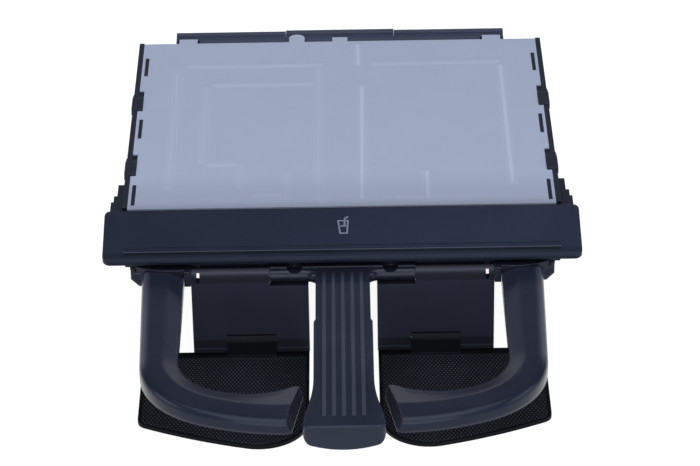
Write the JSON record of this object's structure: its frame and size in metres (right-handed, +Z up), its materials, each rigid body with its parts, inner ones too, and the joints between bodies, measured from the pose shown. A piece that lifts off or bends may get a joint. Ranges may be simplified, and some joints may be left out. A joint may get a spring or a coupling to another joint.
{
  "type": "car cup holder",
  "caption": "Pull-out dashboard cup holder: steel-covered slide housing, front flap, ribbed middle tongue, hooked swinging arms and drop-down floor plates.",
  "frame": {"origin": "middle of the dash slot's mouth, at mid-height of the housing", "axes": "+X to the right seen from the seats, +Y into the dashboard along the tray's travel, +Z up"},
  "size_m": [0.19, 0.3017, 0.0523],
  "materials": {
    "housing_plastic": "moulded plastic, dark blue-black, fine grain",
    "cover_steel": "pressed sheet steel, matt zinc grey-blue",
    "flap_plastic": "moulded plastic, dark blue-grey, fine grain",
    "tray_plastic": "moulded plastic, dark blue-grey, satin",
    "floor_plastic": "moulded plastic, near black",
    "inner_plastic": "natural acetal",
    "pin_steel": "drawn steel wire",
    "spring_steel": "spring steel"
  },
  "bodies": {
    "housing": {"housing": "housing_plastic", "steel_cover": "cover_steel", "latch_block": "housing_plastic", "latch_pin": "pin_steel", "latch_spring": "spring_steel", "left_flap_pin": "pin_steel", "left_flap_spring": "spring_steel", "right_flap_pin": "pin_steel", "right_flap_spring": "spring_steel"},
    "flap": {"flap": "flap_plastic"},
    "latch_hook": {"latch_hook": "inner_plastic"},
    "carriage": {"carriage": "tray_plastic", "damper_body": "inner_plastic", "drive_pin": "pin_steel", "left_arm_pin": "pin_steel", "left_arm_spring": "spring_steel", "left_drop_rod": "pin_steel", "right_arm_pin": "pin_steel", "right_arm_spring": "spring_steel", "right_drop_rod": "pin_steel"},
    "damper_pinion": {"damper_pinion": "inner_plastic"},
    "drive_spring": {"drive_spring": "spring_steel"},
    "left_arm": {"left_arm": "tray_plastic"},
    "right_arm": {"right_arm": "tray_plastic"},
    "left_drop": {"left_drop_plate": "floor_plastic", "left_drop_spring": "spring_steel", "left_floor_rod": "pin_steel", "left_floor_spring": "spring_steel"},
    "right_drop": {"right_drop_plate": "floor_plastic", "right_drop_spring": "spring_steel", "right_floor_rod": "pin_steel", "right_floor_spring": "spring_steel"},
    "left_floor": {"left_floor_plate": "floor_plastic"},
    "right_floor": {"right_floor_plate": "floor_plastic"}
  },
  "joints": [
    {"name": "carriage_slide", "type": "slide", "parent": "housing", "child": "carriage", "axis": [0, -1, 0], "range_m": [-0.139, 0], "stiffness_N_per_m": 8, "springref_m": 0.05},
    {"name": "flap_lift", "type": "hinge", "parent": "housing", "child": "flap", "pos_m": [0, -0.00421, 0.0089], "axis": [-1, 0, 0], "range_deg": [0, 20], "stiffness_Nm_per_rad": 0.01, "springref_deg": -28.65},
    {"name": "latch_turn", "type": "hinge", "parent": "housing", "child": "latch_hook", "pos_m": [0.0065, 0.156, 0.0056], "axis": [0, 0, -1], "range_deg": [0, 9], "stiffness_Nm_per_rad": 0.002},
    {"name": "left_arm_swing", "type": "hinge", "parent": "carriage", "child": "left_arm", "pos_m": [-0.068, -0.0017, -0.003], "axis": [0, 0, -1], "range_deg": [0, 20], "stiffness_Nm_per_rad": 0.05, "springref_deg": -11.46},
    {"name": "right_arm_swing", "type": "hinge", "parent": "carriage", "child": "right_arm", "pos_m": [0.068, -0.0017, -0.003], "axis": [0, 0, 1], "range_deg": [0, 20], "stiffness_Nm_per_rad": 0.05, "springref_deg": -11.46},
    {"name": "damper_turn", "type": "hinge", "parent": "carriage", "child": "damper_pinion", "pos_m": [0.0776, 0.0088, -0.0097], "axis": [0, 0, 1], "range_deg": [-1140, 0]},
    {"name": "spool_turn", "type": "hinge", "parent": "carriage", "child": "drive_spring", "pos_m": [0, 0.009, -0.0056], "axis": [1, 0, 0], "range_deg": [-1640, 0]},
    {"name": "left_drop_fold", "type": "hinge", "parent": "carriage", "child": "left_drop", "pos_m": [-0.037, -0.027, -0.001], "axis": [1, 0, 0], "range_deg": [-84.1, 0]},
    {"name": "right_drop_fold", "type": "hinge", "parent": "carriage", "child": "right_drop", "pos_m": [0.037, -0.027, -0.001], "axis": [1, 0, 0], "range_deg": [-84.1, 0]},
    {"name": "left_floor_fold", "type": "hinge", "parent": "left_drop", "child": "left_floor", "pos_m": [-0.037, -0.0286, -0.03], "axis": [-1, 0, 0], "range_deg": [-84.1, 0]},
    {"name": "right_floor_fold", "type": "hinge", "parent": "right_drop", "child": "right_floor", "pos_m": [0.037, -0.0286, -0.03], "axis": [-1, 0, 0], "range_deg": [-84.1, 0]}
  ],
  "couplings": [
    {"joint": "damper_turn", "follows": "carriage_slide", "rad_per_m": 142.86},
    {"joint": "spool_turn", "follows": "carriage_slide", "rad_per_m": 204.08},
    {"joint": "left_drop_fold", "follows": "carriage_slide", "rad_per_m": 10.547},
    {"joint": "left_floor_fold", "follows": "carriage_slide", "rad_per_m": 10.547},
    {"joint": "right_drop_fold", "follows": "carriage_slide", "rad_per_m": 10.547},
    {"joint": "right_floor_fold", "follows": "carriage_slide", "rad_per_m": 10.547}
  ]
}
